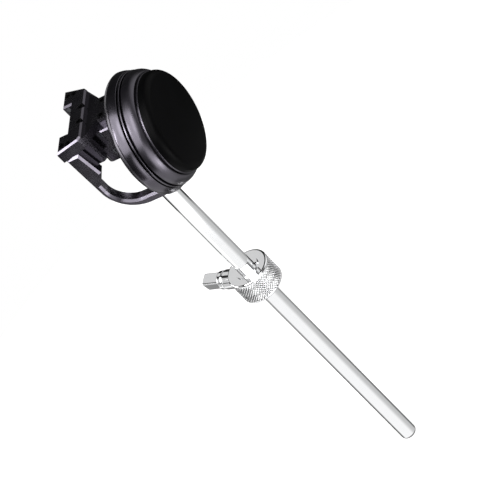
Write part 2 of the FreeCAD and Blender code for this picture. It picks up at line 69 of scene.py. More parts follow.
class Follows(Enum):
    """What a level of the painted reflection on the sheet below the beater changes with."""

    REACH = "the distance from the sheet's middle, in metres"
    FACING = "how far a point lies towards the camera, from minus one to one"
    BESIDE = "how far it lies to the camera's right, from minus one to one"


# Surfaces


@dataclass(frozen=True)
class Axis:
    """The line that a round surface is built about, with lengths in millimetres."""

    origin: tuple[float, float, float]
    along: tuple[float, float, float]
    side: tuple[float, float, float]

    def place(self, radius: np.ndarray, angle: np.ndarray, height: np.ndarray) -> np.ndarray:
        """Turns round coordinates into points.

        A point is the origin, plus the height along the axis, plus the radius times the side turned
        by the angle about the axis.

        Args:
            radius: Distances from the axis.
            angle: Angles from the side, in radians.
            height: Distances along the axis.
        Returns:
            The points in metres, with their three coordinates last.
        """
        along, side = np.array(self.along), np.array(self.side)
        across = np.cross(along, side)
        parts = np.broadcast_arrays(radius, angle, height)
        radius, angle, height = (part[..., None] for part in parts)
        out = radius * (np.cos(angle) * side + np.sin(angle) * across)
        return (np.array(self.origin) + height * along + out) * MM


# Heights on the rod in millimetres, the way that the key screw stands out, and the lines that the
# pieces turn about.
HEAD_HEIGHT = 226.5
WEIGHT_HEIGHT = 128.5
SCREW_SWING = math.radians(18.5)
UPRIGHT = Axis(origin=(0.0, 0.0, 0.0), along=(0.0, 0.0, 1.0), side=(1.0, 0.0, 0.0))
HEAD = Axis(origin=(0.0, 0.0, HEAD_HEIGHT), along=(0.0, -1.0, 0.0), side=(1.0, 0.0, 0.0))
SCREW = Axis(
    origin=(0.0, 0.0, WEIGHT_HEIGHT),
    along=(math.sin(SCREW_SWING), math.cos(SCREW_SWING), 0.0),
    side=(math.cos(SCREW_SWING), -math.sin(SCREW_SWING), 0.0),
)


def eased(
    corners: Sequence[tuple[float, float, float]], steps: int = 7, guard: float = 0.2,
) -> np.ndarray:
    """Draws a profile of straight lines with rounded corners.

    Each rounded corner is a quadratic Bezier curve: it starts and ends at the rounding's length
    from the corner along its two lines, with the corner as its control point. One more point on
    each line, a little further out, keeps the shading of long faces straight.

    Args:
        corners: Radius, height and length of the rounding at each corner, in millimetres.
        steps: Points on each rounding.
        guard: How much further out the extra points lie, as a share of the rounding.
    Returns:
        Rows of radius and height.
    """
    table = np.array(corners, dtype=float)
    points, reach = table[:, :2], table[:, 2:]
    before = np.vstack([points[:1], points[:-1]]) - points
    after = np.vstack([points[1:], points[-1:]]) - points
    before /= np.maximum(np.linalg.norm(before, axis=1, keepdims=True), SAME_POINT)
    after /= np.maximum(np.linalg.norm(after, axis=1, keepdims=True), SAME_POINT)
    first, last = points + reach * before, points + reach * after
    t = np.linspace(0.0, 1.0, steps)[None, :, None]
    curve = (1 - t) ** 2 * first[:, None] + 2 * t * (1 - t) * points[:, None] + t**2 * last[:, None]
    entry, leave = first + guard * reach * before, last + guard * reach * after
    rows = np.concatenate([entry[:, None], curve, leave[:, None]], axis=1).reshape(-1, 2)
    moved = np.linalg.norm(np.diff(rows, axis=0), axis=1) > SAME_POINT
    return rows[np.concatenate([[True], moved])]


def crowned(
    start: tuple[float, float], end: tuple[float, float], rise: float, steps: int = 14,
) -> np.ndarray:
    """Draws a bulging line.

    It is the chord, moved sideways by the rise times one minus the squared distance from its
    middle, which is one at both ends.

    Args:
        start: Radius and height where the line starts.
        end: Radius and height where it ends.
        rise: How far its middle stands out, to the right of the way from start to end.
        steps: Points on the line.
    Returns:
        Rows of radius and height.
    """
    first, last = np.array(start), np.array(end)
    chord = last - first
    right = np.array([chord[1], -chord[0]]) / np.linalg.norm(chord)
    t = np.linspace(0.0, 1.0, steps)[:, None]
    return first + t * chord + rise * (1 - (2 * t - 1) ** 2) * right


def turn_steps(columns: int) -> np.ndarray:
    """Divides a full turn into equal steps, as one row of angles."""
    return (np.arange(columns) * (FULL_TURN / columns))[None, :]


def zigzag(phase: np.ndarray) -> np.ndarray:
    """Rises from zero to one and falls back over each whole step of the phase, in two lines."""
    return 1 - np.abs(2 * np.mod(phase, 1.0) - 1)


def smooth_step(value: np.ndarray, low: float, high: float) -> np.ndarray:
    """Goes from zero at low to one at high along the cubic three t squared minus two t cubed."""
    t = np.clip((value - low) / (high - low), 0.0, 1.0)
    return t * t * (3 - 2 * t)


def piece_from_grid(name: str, points: np.ndarray, ends: Ends) -> bpy.types.Object:
    """Makes an object from a grid of points that closes round its columns.

    Every four neighbours are one face, and at a pole every two neighbours and the pole are one.
    The volume is the sum of the tetrahedra from the middle to the faces; where it is negative, the
    faces are turned round, so that they point outwards.

    Args:
        name: The object's name.
        points: Points in metres, rows first, then columns.
        ends: How the first and last rows are closed.
    Returns:
        The object, at the origin.
    """
    if ends is Ends.POLES:
        body, poles = points[1:-1], points[[0, -1], 0]
    else:
        body, poles = points, np.empty((0, 3))
    rows, columns = body.shape[:2]
    index = np.arange(rows * columns).reshape(rows, columns)
    low, high = index, np.roll(index, -1, axis=0)
    fans = np.empty((0, 3), dtype=int)
    if ends is Ends.POLES:
        low, high = index[:-1], index[1:]
        first, last = (np.full(columns, rows * columns + pole) for pole in (0, 1))
        fans = np.concatenate([
            np.stack([first, np.roll(index[0], -1), index[0]], axis=-1),
            np.stack([last, index[-1], np.roll(index[-1], -1)], axis=-1),
        ])
    quads = np.stack([low, np.roll(low, -1, 1), np.roll(high, -1, 1), high], axis=-1).reshape(-1, 4)
    vertices = np.concatenate([body.reshape(-1, 3), poles])
    triangles = vertices[np.concatenate([quads[:, [0, 1, 2]], quads[:, [0, 2, 3]], fans])]
    a, b, c = np.moveaxis(triangles - vertices.mean(axis=0), 1, 0)
    volume = np.einsum("ij,ij->i", a, np.cross(b, c)).sum()
    turn = slice(None, None, -1 if volume < 0 else 1)
    mesh = bpy.data.meshes.new(name)
    mesh.from_pydata(vertices.tolist(), [], quads[:, turn].tolist() + fans[:, turn].tolist())
    mesh.polygons.foreach_set("use_smooth", np.ones(len(mesh.polygons), dtype=bool))
    mesh.set_sharp_from_angle(angle=SHARP_FROM)
    piece = bpy.data.objects.new(name, mesh)
    bpy.context.scene.collection.objects.link(piece)
    return piece


def revolved(
    name: str, axis: Axis, profile: np.ndarray, ends: Ends, columns: int = 128,
) -> bpy.types.Object:
    """Makes a turned piece: the profile's radius and height, carried once round the axis.

    Args:
        name: The object's name.
        axis: The line that it turns about.
        profile: Rows of radius and height.
        ends: How the profile closes.
        columns: Steps round the axis.
    Returns:
        The object.
    """
    points = axis.place(profile[:, :1], turn_steps(columns), profile[:, 1:])
    return piece_from_grid(name, points, ends)


# Finishes


# How many finer layers the grain of each pattern has: many for fibres, few for lines and dents.
GRAIN_DETAIL = {
    Pattern.POLISHED: 1.0, Pattern.SPARKED: 3.0, Pattern.TUMBLED: 1.0, Pattern.MATTED: 6.0,
}
# How much closer the grain lies along X, Y and Z: the polishing lines change only up the axis.
EVEN_GRAIN = (1.0, 1.0, 1.0)
GRAIN_STRETCH = {Pattern.POLISHED: (0.04, 0.04, 1.0)}
# A Mix node has sockets for each kind of value under the same names, so they are taken by number.
MIX_SHARE, MIX_COLOUR_A, MIX_COLOUR_B, MIXED_COLOUR = 0, 6, 7, 2
MIX_NUMBER_A, MIX_NUMBER_B, MIXED_NUMBER = 2, 3, 0


def linear(code: str) -> tuple[float, float, float, float]:
    """Turns an sRGB hex colour into linear values.

    Up to the knee of the sRGB curve a share is divided by the slope there. Above it, the share plus
    the offset, over one plus the offset, is raised to the curve's power.

    Args:
        code: The colour: a hash sign and six hex digits.
    Returns:
        Red, green and blue, and one for alpha.
    """
    knee, slope, offset, power = 0.04045, 12.92, 0.055, 2.4
    shares = [int(code[at:at + 2], 16) / 255 for at in (1, 3, 5)]
    red, green, blue = (
        share / slope if share <= knee else ((share + offset) / (1 + offset)) ** power
        for share in shares
    )
    return red, green, blue, 1.0


def empty_tree(owner: bpy.types.Material | bpy.types.World) -> bpy.types.NodeTree:
    """Takes away the nodes that a new material or world starts with.

    Args:
        owner: The material or world.
    Returns:
        Its empty tree.
    """
    owner.use_nodes = True
    owner.node_tree.nodes.clear()
    return owner.node_tree


def add_node(
    tree: bpy.types.NodeTree, kind: str, settings: Mapping[str, object] | None = None,
    inputs: Mapping[str | int, object] | None = None,
) -> bpy.types.Node:
    """Adds a node with its settings and links.

    Args:
        tree: The tree that takes the node.
        kind: Blender's name for the kind of node.
        settings: Values of the node's own properties.
        inputs: What goes into its sockets: a value, or another node's output to link.
    Returns:
        The node.
    """
    node = tree.nodes.new(kind)
    for name, value in (settings or {}).items():
        setattr(node, name, value)
    for key, value in (inputs or {}).items():
        if isinstance(value, bpy.types.NodeSocket):
            tree.links.new(value, node.inputs[key])
        else:
            node.inputs[key].default_value = value
    return node


@dataclass(frozen=True)
class Finish:
    """One finish, with the sizes of its patterns in millimetres.

    The colour drifts between two tones over patches, the roughness follows the same patches, and
    the relief follows a finer grain. The shine colours what the surface mirrors, and the index is
    how much it bends light. A falloff is how strong the finer layers of a pattern are, and the span
    is where its values lie.
    """

    name: str
    slot: str
    tone: str
    second_tone: str
    metallic: float
    roughness: tuple[float, float]
    specular: float
    patch: float
    grain: float
    relief: float
    pattern: Pattern
    shine: str = WHITE
    index: float = 1.5
    patch_detail: float = 3.0
    patch_falloff: float = 0.55
    patch_span: tuple[float, float] = (0.3, 0.7)
    grain_falloff: float = 0.6

    def material(self) -> bpy.types.Material:
        """Builds the finish as a material, once.

        Returns:
            The material, which later calls find by its name.
        """
        found = bpy.data.materials.get(self.name)
        if found:
            return found
        material = bpy.data.materials.new(self.name)
        tree = empty_tree(material)
        place = add_node(tree, "ShaderNodeTexCoord").outputs["Object"]
        patches = add_node(tree, "ShaderNodeTexNoise", inputs={
            "Vector": place, "Scale": 1 / (self.patch * MM),
            "Detail": self.patch_detail, "Roughness": self.patch_falloff,
        }).outputs["Fac"]
        colour = add_node(tree, "ShaderNodeMix", {"data_type": "RGBA"}, {
            MIX_SHARE: patches,
            MIX_COLOUR_A: linear(self.tone), MIX_COLOUR_B: linear(self.second_tone),
        }).outputs[MIXED_COLOUR]
        roughness = add_node(tree, "ShaderNodeMapRange", inputs={
            "Value": patches, "From Min": self.patch_span[0], "From Max": self.patch_span[1],
            "To Min": self.roughness[0], "To Max": self.roughness[1],
        }).outputs["Result"]
        stretched = add_node(tree, "ShaderNodeMapping", inputs={
            "Vector": place, "Scale": GRAIN_STRETCH.get(self.pattern, EVEN_GRAIN),
        }).outputs["Vector"]
        grain = add_node(tree, "ShaderNodeTexNoise", inputs={
            "Vector": stretched, "Scale": 1 / (self.grain * MM),
            "Detail": GRAIN_DETAIL[self.pattern], "Roughness": self.grain_falloff,
        }).outputs["Fac"]
        bump = add_node(tree, "ShaderNodeBump", inputs={
            "Height": grain, "Distance": self.relief * MM, "Strength": 1.0,
        }).outputs["Normal"]
        shader = add_node(tree, "ShaderNodeBsdfPrincipled", inputs={
            "Base Color": colour, "Metallic": self.metallic, "Roughness": roughness,
            "IOR": self.index, "Specular IOR Level": self.specular,
            "Specular Tint": linear(self.shine), "Normal": bump,
        }).outputs["BSDF"]
        add_node(tree, "ShaderNodeOutputMaterial", inputs={"Surface": shader})
        return material

    def dress(self, piece: bpy.types.Object) -> None:
        """Gives a piece or a CAD node this finish as its only material."""
        piece.data.materials.clear()
        piece.data.materials.append(self.material())


# Bright nickel-chrome over polished steel: a clear mirror with faint wheel lines round the axis.
# The real lines are finer than a pixel, so they are drawn at a third of a millimetre.
CHROME = Finish(
    name="chrome_plated_polished_steel", slot="plated_steel", tone="#fafafb", second_tone="#f4f5f6",
    metallic=1.0, roughness=(0.05, 0.09), specular=0.5,
    patch=9.0, grain=0.33, relief=0.0006, pattern=Pattern.POLISHED,
)
# Plain turned steel, dulled by oil: a dark grey metal with a soft shine and small dents from the
# finishing barrel.
PLAIN_STEEL = Finish(
    name="oiled_turned_steel", slot="bare_steel", tone="#6b6c70", second_tone="#55565a",
    metallic=1.0, roughness=(0.3, 0.42), specular=0.5,
    patch=1.5, grain=0.6, relief=0.004, pattern=Pattern.TUMBLED,
)
# Blackened steel: nearly black, with a dull metal shine on the raised parts.
BLACKENED = Finish(
    name="black_oxide_steel", slot="dark_screws", tone="#232325", second_tone="#19191a",
    metallic=1.0, roughness=(0.3, 0.42), specular=0.5,
    patch=1.2, grain=0.5, relief=0.004, pattern=Pattern.TUMBLED,
)
# Injection-moulded ABS: deep black with a satin, faintly violet shine and the fine grain of its
# mould.
MOULDING = Finish(
    name="moulded_black_abs", slot="black_moulding", tone="#040405", second_tone="#060607",
    metallic=0.0, roughness=(0.2, 0.27), specular=1.0, shine="#f4ecff", index=1.54,
    patch=6.0, grain=0.4, relief=0.0025, pattern=Pattern.SPARKED,
)
# Moulded hard rubber: black with a softer, faintly violet shine and a coarser grain than the
# plastic.
RUBBER = Finish(
    name="moulded_black_rubber", slot="black_rubber", tone="#050506", second_tone="#070709",
    metallic=0.0, roughness=(0.27, 0.34), specular=1.0, shine="#f4ecff", index=1.54,
    patch=5.0, grain=0.5, relief=0.004, pattern=Pattern.SPARKED,
)
# Moulded and fine-blasted polyamide: a dull black striking face that shows light only at its rim.
FACE = Finish(
    name="blasted_black_polyamide", slot="face_plastic", tone="#040404", second_tone="#050506",
    metallic=0.0, roughness=(0.36, 0.44), specular=0.03,
    patch=8.0, grain=0.45, relief=0.005, pattern=Pattern.SPARKED,
)
# Natural moulded nylon: milky white with a waxy shine.
NYLON = Finish(
    name="moulded_natural_nylon", slot="nylon", tone="#e4e0d4", second_tone="#d9d4c6",
    metallic=0.0, roughness=(0.35, 0.5), specular=0.5,
    patch=3.0, grain=0.5, relief=0.004, pattern=Pattern.SPARKED,
)
# Pressed wool felt: matt grey made of short tangled fibres.
FELT = Finish(
    name="pressed_grey_wool_felt", slot="felt", tone="#6e6c69", second_tone="#565451",
    metallic=0.0, roughness=(0.9, 0.98), specular=0.1,
    patch=2.0, grain=0.35, relief=0.08, pattern=Pattern.MATTED,
)


# Sub-assemblies


class SubAssembly:
    """What every group of the beater's pieces shares."""

    def add(self, piece: bpy.types.Object, body: str, finish: Finish, *nodes: str) -> None:
        """Finishes a new piece, sets it on a body and lets it stand for the CAD nodes.

        Args:
            piece: The new piece.
            body: The body that carries it.
            finish: Its finish.
            nodes: The CAD nodes that it replaces.
        """
        finish.dress(piece)
        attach(piece, body)
        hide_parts(*nodes)
        faces = len(piece.data.polygons)
        LOG.info("%s: %d faces, %s, on %s", piece.name, faces, finish.name, body)

    def keep(self, finish: Finish, *nodes: str) -> None:
        """Gives CAD nodes whose shape is right their finish.

        Args:
            finish: The finish.
            nodes: The nodes' names.
        """
        for node in nodes:
            finish.dress(bpy.data.objects[node])
            LOG.info("%s: kept, %s", node, finish.name)


@dataclass
class Shaft(SubAssembly):
    """The round rod that the pedal clamps, with sizes in millimetres."""

    radius: float = 4.0
    low: float = -1.5
    high: float = 243.0
    low_edge: float = 1.5
    high_edge: float = 0.75
    mark_middle: float = 48.6
    mark_depth: float = 0.04
    mark_reach: float = 1.16
    mark_dip_edge: float = 0.58
    mark_side_edge: float = 0.29

    def build(self) -> None:
        """Turns the rod about the upright axis, with rounded ends and a faint setting mark."""
        profile = eased([
            (0.0, self.low, 0.0),
            (self.radius, self.low, self.low_edge),
            (self.radius, self.mark_middle - self.mark_reach, self.mark_side_edge),
            (self.radius - self.mark_depth, self.mark_middle, self.mark_dip_edge),
            (self.radius, self.mark_middle + self.mark_reach, self.mark_side_edge),
            (self.radius, self.high, self.high_edge),
            (0.0, self.high, 0.0),
        ])
        rod = revolved("rod_plated", UPRIGHT, profile, Ends.POLES)
        self.add(rod, "beater", CHROME, "shaft")


@dataclass
class StrikingHead(SubAssembly):
    """Flange, clamp ring, rubber and face about the head's axis, with sizes in millimetres.

    Heights run forward from the rod's axis. A lead is how far before a corner a straight or bulging
    line ends, an inset how far the corner stands in, and an edge the length of its rounding.
    """

    flange_back: float = 8.0
    flange_back_radius: float = 23.4
    flange_back_edge: float = 0.5
    flange_back_slant: float = 1.0
    rear_start_radius: float = 23.75
    rear_start: float = 8.3
    rear_rise: float = 0.7
    crest_radius: float = 27.6
    crest: float = 12.0
    front_rise: float = 0.22
    flange_front: float = 15.7
    flange_front_radius: float = 26.6
    rim_lead: float = 0.3
    rim_inset: float = 0.1
    rim_edge: float = 0.2
    floor_front: float = 12.3
    core_radius: float = 20.8
    core_front: float = 16.3
    ring_front: float = 17.1
    ring_radius: float = 26.3
    ring_edge: float = 0.25
    damping_radius: float = 18.5
    damping_front: float = 19.3
    felt_gap: float = 0.1
    felt_edge: float = 0.6
    pad_root_radius: float = 23.8
    pad_back: float = 17.6
    pad_back_radius: float = 25.8
    pad_back_lead: float = 0.5
    pad_back_inset: float = 0.15
    pad_back_edge: float = 0.45
    pad_rise: float = 0.54
    pad_front: float = 22.7
    pad_front_radius: float = 23.75
    pad_front_lead: float = 0.2
    pad_front_inset: float = 0.25
    pad_front_edge: float = 0.25
    pad_nose_radius: float = 21.9
    pad_nose_lead: float = 0.2
    pad_crease: float = 0.1
    pad_hole_radius: float = 0.01
    lip_radius: float = 22.85
    lip_height: float = 0.6
    lip_lead: float = 0.1
    lip_back_edge: float = 0.15
    lip_front_edge: float = 0.2
    lip_overlap: float = 0.3
    face_back: float = 23.4
    face_radius: float = 22.6
    face_back_edge: float = 0.35
    face_edge: float = 25.2
    face_flat: float = 28.4
    face_dome: float = 29.1
    face_round_steps: int = 16
    face_dome_steps: int = 12
    seat: float = 0.02

    def build(self) -> None:
        """Builds the four turned pieces and the felt, and dresses the nodes that stay."""
        for name, profile, ends, finish, node in (
            ("flange_moulded", self.flange(), Ends.POLES, MOULDING, "back_flange"),
            ("ring_moulded", self.ring(), Ends.RING, MOULDING, "clamp_ring"),
            ("pad_moulded", self.pad(), Ends.RING, RUBBER, "strike_pad"),
            ("face_moulded", self.face(), Ends.POLES, FACE, "face_disc"),
            ("damping_felt", self.felt(), Ends.POLES, FELT, "damping_disc"),
        ):
            self.add(revolved(name, HEAD, profile, ends), "beater", finish, node)
        self.keep(MOULDING, "core_plate")
        self.keep(BLACKENED, "core_screws")

    def flange(self) -> np.ndarray:
        """Draws a dish: a flat back, two bulging bands that meet at a crest, a rim and a floor.

        Returns:
            Rows of radius and height.
        """
        slant, rim_start = self.flange_back_slant, self.flange_front - self.rim_lead
        back = eased([
            (0.0, self.flange_back, 0.0),
            (self.flange_back_radius, self.flange_back, self.flange_back_edge),
            (self.flange_back_radius + slant, self.flange_back + slant, 0.0),
        ])[:-2]
        crest = (self.crest_radius, self.crest)
        rear = crowned((self.rear_start_radius, self.rear_start), crest, self.rear_rise)
        front = crowned(crest, (self.flange_front_radius, rim_start), self.front_rise)
        rim = eased([
            (self.flange_front_radius, rim_start, 0.0),
            (self.flange_front_radius - self.rim_inset, self.flange_front, self.rim_edge),
            (self.core_radius, self.flange_front, self.rim_edge),
            (self.core_radius, self.floor_front, self.rim_edge),
            (0.0, self.floor_front, 0.0),
        ])
        return np.concatenate([back, rear, front[1:], rim[1:]])

    def ring(self) -> np.ndarray:
        """Draws a flat washer with its outer edges rounded.

        Returns:
            Rows of radius and height.
        """
        hole = self.damping_radius + self.seat
        return eased([
            (hole, self.core_front, 0.0),
            (self.ring_radius, self.core_front, self.ring_edge),
            (self.ring_radius, self.ring_front, self.ring_edge),
            (hole, self.ring_front, 0.0),
        ])

    def pad(self) -> np.ndarray:
        """Draws a root, a bulging band with rounded edges, and a narrower nose with a thin lip.

        The pad is hollow at the back for the felt.

        Returns:
            Rows of radius and height.
        """
        hollow, hollow_front = self.damping_radius + self.seat, self.damping_front + self.seat
        band_start = self.pad_back + self.pad_back_lead
        band_end = self.pad_front - self.pad_front_lead
        lip_front = self.face_back + self.lip_height
        lip_inner = self.face_radius - self.lip_overlap
        root = eased([
            (hollow, hollow_front, 0.0),
            (hollow, self.ring_front, 0.0),
            (self.pad_root_radius, self.ring_front, 0.0),
            (self.pad_root_radius, self.pad_back, self.pad_crease),
            (self.pad_back_radius - self.pad_back_inset, self.pad_back, self.pad_back_edge),
            (self.pad_back_radius, band_start, 0.0),
        ])
        band = crowned(
            (self.pad_back_radius, band_start), (self.pad_front_radius, band_end), self.pad_rise,
        )
        nose = eased([
            (self.pad_front_radius, band_end, 0.0),
            (self.pad_front_radius - self.pad_front_inset, self.pad_front, self.pad_front_edge),
            (self.pad_nose_radius, self.pad_front, self.pad_crease),
            (self.pad_nose_radius, self.face_back - self.pad_nose_lead, self.pad_crease),
            (self.lip_radius, self.face_back - self.lip_lead, self.lip_back_edge),
            (self.lip_radius, lip_front, self.lip_front_edge),
            (lip_inner, lip_front, 0.0),
            (lip_inner, self.face_back, 0.0),
            (self.pad_hole_radius, self.face_back, 0.0),
            (self.pad_hole_radius, hollow_front, 0.0),
        ])
        return np.concatenate([root[:-1], band, nose[1:]])

    def face(self) -> np.ndarray:
        """Draws a disc with a short straight edge, a quarter round and a slightly domed front.

        The dome's height is that of its middle times one minus the squared share of the radius.

        Returns:
            Rows of radius and height.
        """
        reach = self.face_flat - self.face_edge
        flat_radius = self.face_radius - reach
        back = eased([
            (0.0, self.face_back, 0.0),
            (self.face_radius, self.face_back, self.face_back_edge),
            (self.face_radius, self.face_edge, 0.0),
        ])[:-1]
        turn = np.linspace(0.0, FULL_TURN / 4, self.face_round_steps)[:, None]
        rim = np.hstack([flat_radius + reach * np.cos(turn), self.face_edge + reach * np.sin(turn)])
        share = np.linspace(1.0, 0.0, self.face_dome_steps)[1:, None]
        rise = (self.face_dome - self.face_flat) * (1 - share**2)
        dome = np.hstack([flat_radius * share, self.face_flat + rise])
        return np.concatenate([back, rim, dome])

    def felt(self) -> np.ndarray:
        """Draws a disc with soft edges that fills the hollow behind the face.

        Returns:
            Rows of radius and height.
        """
        radius = self.damping_radius - self.felt_gap
        low, high = self.core_front + self.seat, self.damping_front - self.seat
        return eased([
            (0.0, low, 0.0),
            (radius, low, self.felt_edge),
            (radius, high, self.felt_edge),
            (0.0, high, 0.0),
        ])


@dataclass
class Carrier(SubAssembly):
    """Neck, yoke, bows and their screws, whose CAD shapes are right."""

    def build(self) -> None:
        """Dresses the nodes."""
        self.keep(MOULDING, "neck_block", "yoke_bar", "bow_left", "bow_right")
        self.keep(PLAIN_STEEL, "socket_bush", "set_screws", "ear_pins")
        self.keep(BLACKENED, "hub_screws", "yoke_screws", "arm_screws", "foot_screws")


@dataclass
class WeightCollar(SubAssembly):
    """The sliding weight and the threaded bush in its side, with sizes in millimetres."""

    radius: float = 10.4
    half: float = 6.5
    edge: float = 0.9
    bore: float = 5.05
    wall_rows: int = 90
    knurl_count: int = 46
    knurl_columns: int = 12
    knurl_depth: float = 0.34
    knurl_land: float = 0.25
    knurl_margin: float = 1.0
    bush_margins: tuple[float, float] = (0.3, 1.5)
    bush_radius: float = 4.55
    bush_inner: float = 6.3
    bush_outer: float = 15.8
    bush_bore: float = 2.55
    bush_edge: float = 0.5
    bush_small_edge: float = 0.2

    def build(self) -> None:
        """Builds the knurled collar and the bush, and dresses the liner."""
        self.add(self.collar(), "weight", CHROME, "weight_collar")
        bush = revolved("bush_plated", SCREW, eased([
            (self.bush_bore, self.bush_inner, 0.0),
            (self.bush_radius, self.bush_inner, self.bush_small_edge),
            (self.bush_radius, self.bush_outer, self.bush_edge),
            (self.bush_bore, self.bush_outer, self.bush_small_edge),
        ]), Ends.RING)
        self.add(bush, "weight", CHROME, "screw_bush")
        self.keep(CHROME, "collar_liner")

    def collar(self) -> bpy.types.Object:
        """Builds the collar with a diamond knurl.

        The radius is that of a turned profile, less the knurl's depth times one minus the lower of
        two zigzags, which wind round the wall in opposite ways and are cut off at the lands. The
        depth fades to nothing near the rounded edges and round the bush.

        Returns:
            The collar.
        """
        low, high = WEIGHT_HEIGHT - self.half, WEIGHT_HEIGHT + self.half
        middle = (self.radius, WEIGHT_HEIGHT, 0.0)
        start = eased([(self.bore, low, 0.0), (self.radius, low, self.edge), middle])[:-1]
        end = eased([middle, (self.radius, high, self.edge), (self.bore, high, 0.0)])[1:]
        wall_height = np.linspace(start[-1, 1], end[0, 1], self.wall_rows)[1:-1, None]
        wall = np.hstack([np.full_like(wall_height, self.radius), wall_height])
        profile = np.concatenate([start, wall, end])
        radius, height = profile[:, :1], profile[:, 1:]
        angle = turn_steps(self.knurl_columns * self.knurl_count)
        around = self.knurl_count * angle / FULL_TURN
        upward = self.knurl_count * (height - WEIGHT_HEIGHT) / (FULL_TURN * self.radius)
        diamond = np.minimum(zigzag(around + upward), zigzag(around - upward))
        diamond = np.minimum(diamond / (1 - self.knurl_land), 1.0)
        from_edge = np.minimum(height - low, high - height)
        from_bush = angle - math.atan2(SCREW.along[1], SCREW.along[0])
        away = np.hypot(self.radius * np.sin(from_bush), height - WEIGHT_HEIGHT)
        away = np.where(np.cos(from_bush) > 0, away, 2 * self.radius)
        bush_from, bush_to = (self.bush_radius + margin for margin in self.bush_margins)
        fade = smooth_step(from_edge, self.edge, self.edge + self.knurl_margin)
        fade = fade * smooth_step(away, bush_from, bush_to)
        on_wall = radius > self.radius - SAME_POINT
        worn = np.where(on_wall, radius - self.knurl_depth * fade * (1 - diamond), radius)
        return piece_from_grid("collar_knurled", UPRIGHT.place(worn, angle, height), Ends.RING)


@dataclass
class KeyScrew(SubAssembly):
    """The square-headed screw that locks the weight, with sizes in millimetres.

    The squareness is the power that shapes the cross-section: two is round, and higher is squarer.
    """

    columns: int = 160
    shank_radius: float = 2.5
    inner: float = 7.25
    tip_length: float = 1.0
    tip_edge: float = 0.4
    neck_length: float = 0.1
    neck_crease: float = 0.05
    flange_inner: float = 16.3
    flange_outer: float = 18.9
    flange_radius: float = 4.25
    flange_edge: float = 0.5
    head_foot: float = 0.6
    head_half: float = 2.85
    head_outer: float = 27.9
    head_rise: float = 0.15
    head_edge: float = 0.45
    head_roll: float = math.radians(35.0)
    head_squareness: float = 12.0
    round_squareness: float = 2.0
    pitch: float = 0.8
    thread_depth: float = 0.4
    thread_rows: int = 10
    thread_start: tuple[float, float] = (0.6, 1.6)
    thread_end: float = 0.15

    def build(self) -> None:
        """Builds the screw and dresses the tip that it presses on."""
        self.add(self.screw(), "key", CHROME, "key_screw")
        self.keep(NYLON, "tip_pad")

    def screw(self) -> bpy.types.Object:
        """Builds shank, flange and head as one surface.

        The radius is that of a turned profile, divided by the n-th root of the sum of the n-th
        powers of cosine and sine: n is two where the screw is round, and higher where its head is
        square. Along the shank a zigzag of height over pitch, less the share of a turn, is cut in
        as thread.

        Returns:
            The screw.
        """
        shank_start, neck = self.inner + self.tip_length, self.flange_inner - self.neck_length
        shank_height = np.arange(shank_start, neck, self.pitch / self.thread_rows)[:, None]
        shank = np.hstack([np.full_like(shank_height, self.shank_radius), shank_height])
        tip = eased([
            (0.0, self.inner, 0.0),
            (self.shank_radius, self.inner, self.tip_edge),
            (self.shank_radius, shank_start, 0.0),
        ])[:-1]
        flange = eased([
            (self.shank_radius, neck, 0.0),
            (self.shank_radius, self.flange_inner, self.neck_crease),
            (self.flange_radius, self.flange_inner, self.flange_edge),
            (self.flange_radius, self.flange_outer, self.flange_edge),
            (self.head_half + self.head_foot, self.flange_outer, 0.0),
        ])
        head = eased([
            (self.head_half, self.flange_outer, 0.0),
            (self.head_half, self.head_outer - self.head_rise, self.head_edge),
            (0.0, self.head_outer, 0.0),
        ])
        profile = np.concatenate([tip, shank, flange[1:], head])
        radius, height = profile[:, :1], profile[:, 1:]
        power = np.full_like(radius, self.round_squareness)
        power[-len(head):] = self.head_squareness
        angle = turn_steps(self.columns)
        across = angle - self.head_roll - FULL_TURN / 8
        sides = (np.abs(np.cos(across)) ** power + np.abs(np.sin(across)) ** power) ** (1 / power)
        fade_from, fade_to = (self.inner + margin for margin in self.thread_start)
        threaded = height < self.flange_inner - self.thread_end
        threaded = smooth_step(height, fade_from, fade_to) * threaded
        cut = self.thread_depth * threaded * zigzag(height / self.pitch - angle / FULL_TURN)
        points = SCREW.place(radius / sides - cut, angle, height)
        return piece_from_grid("key_plated", points, Ends.POLES)


# Studio


def set_up(
    name: str, data: bpy.types.Light | bpy.types.Camera, ways: Sequence[Sequence[float]],
    place: np.ndarray,
) -> bpy.types.Object:
    """Adds a lamp or a camera to the scene.

    Args:
        name: The object's name.
        data: The lamp or camera.
        ways: Its own X, Y and Z axes in the beater's frame.
        place: Where it stands, in metres.
    Returns:
        The object.
    """
    holder = bpy.data.objects.new(name, data)
    turn = np.eye(4)
    turn[:3, :3] = np.stack(ways, axis=1)
    turn[:3, 3] = place
    holder.matrix_world = Matrix(turn.tolist())
    bpy.context.scene.collection.objects.link(holder)
    return holder


@dataclass(frozen=True)
class Softbox:
    """A square lamp or small card that faces the rod, with lengths in metres.

    It stands in a way from the point of the rod that it faces, whose height, the aim, is in
    millimetres. The way isn't straight up or down.
    """

    name: str
    toward: tuple[float, float, float]
    distance: float
    size: float
    watts: float
    aim: float = HEAD_HEIGHT

    def build(self) -> None:
        """Adds the lamp, with its own Z axis pointing away from the height that it lights."""
        lamp = bpy.data.lights.new(self.name, "AREA")
        lamp.energy, lamp.size = self.watts, self.size
        away = np.array(self.toward) / np.linalg.norm(self.toward)
        right = np.cross(UPRIGHT.along, away)
        right /= np.linalg.norm(right)
        place = away * self.distance + np.array([0.0, 0.0, self.aim * MM])
        set_up(self.name, lamp, (right, np.cross(away, right), away), place)
        LOG.info("%s: %.3f W", self.name, self.watts)


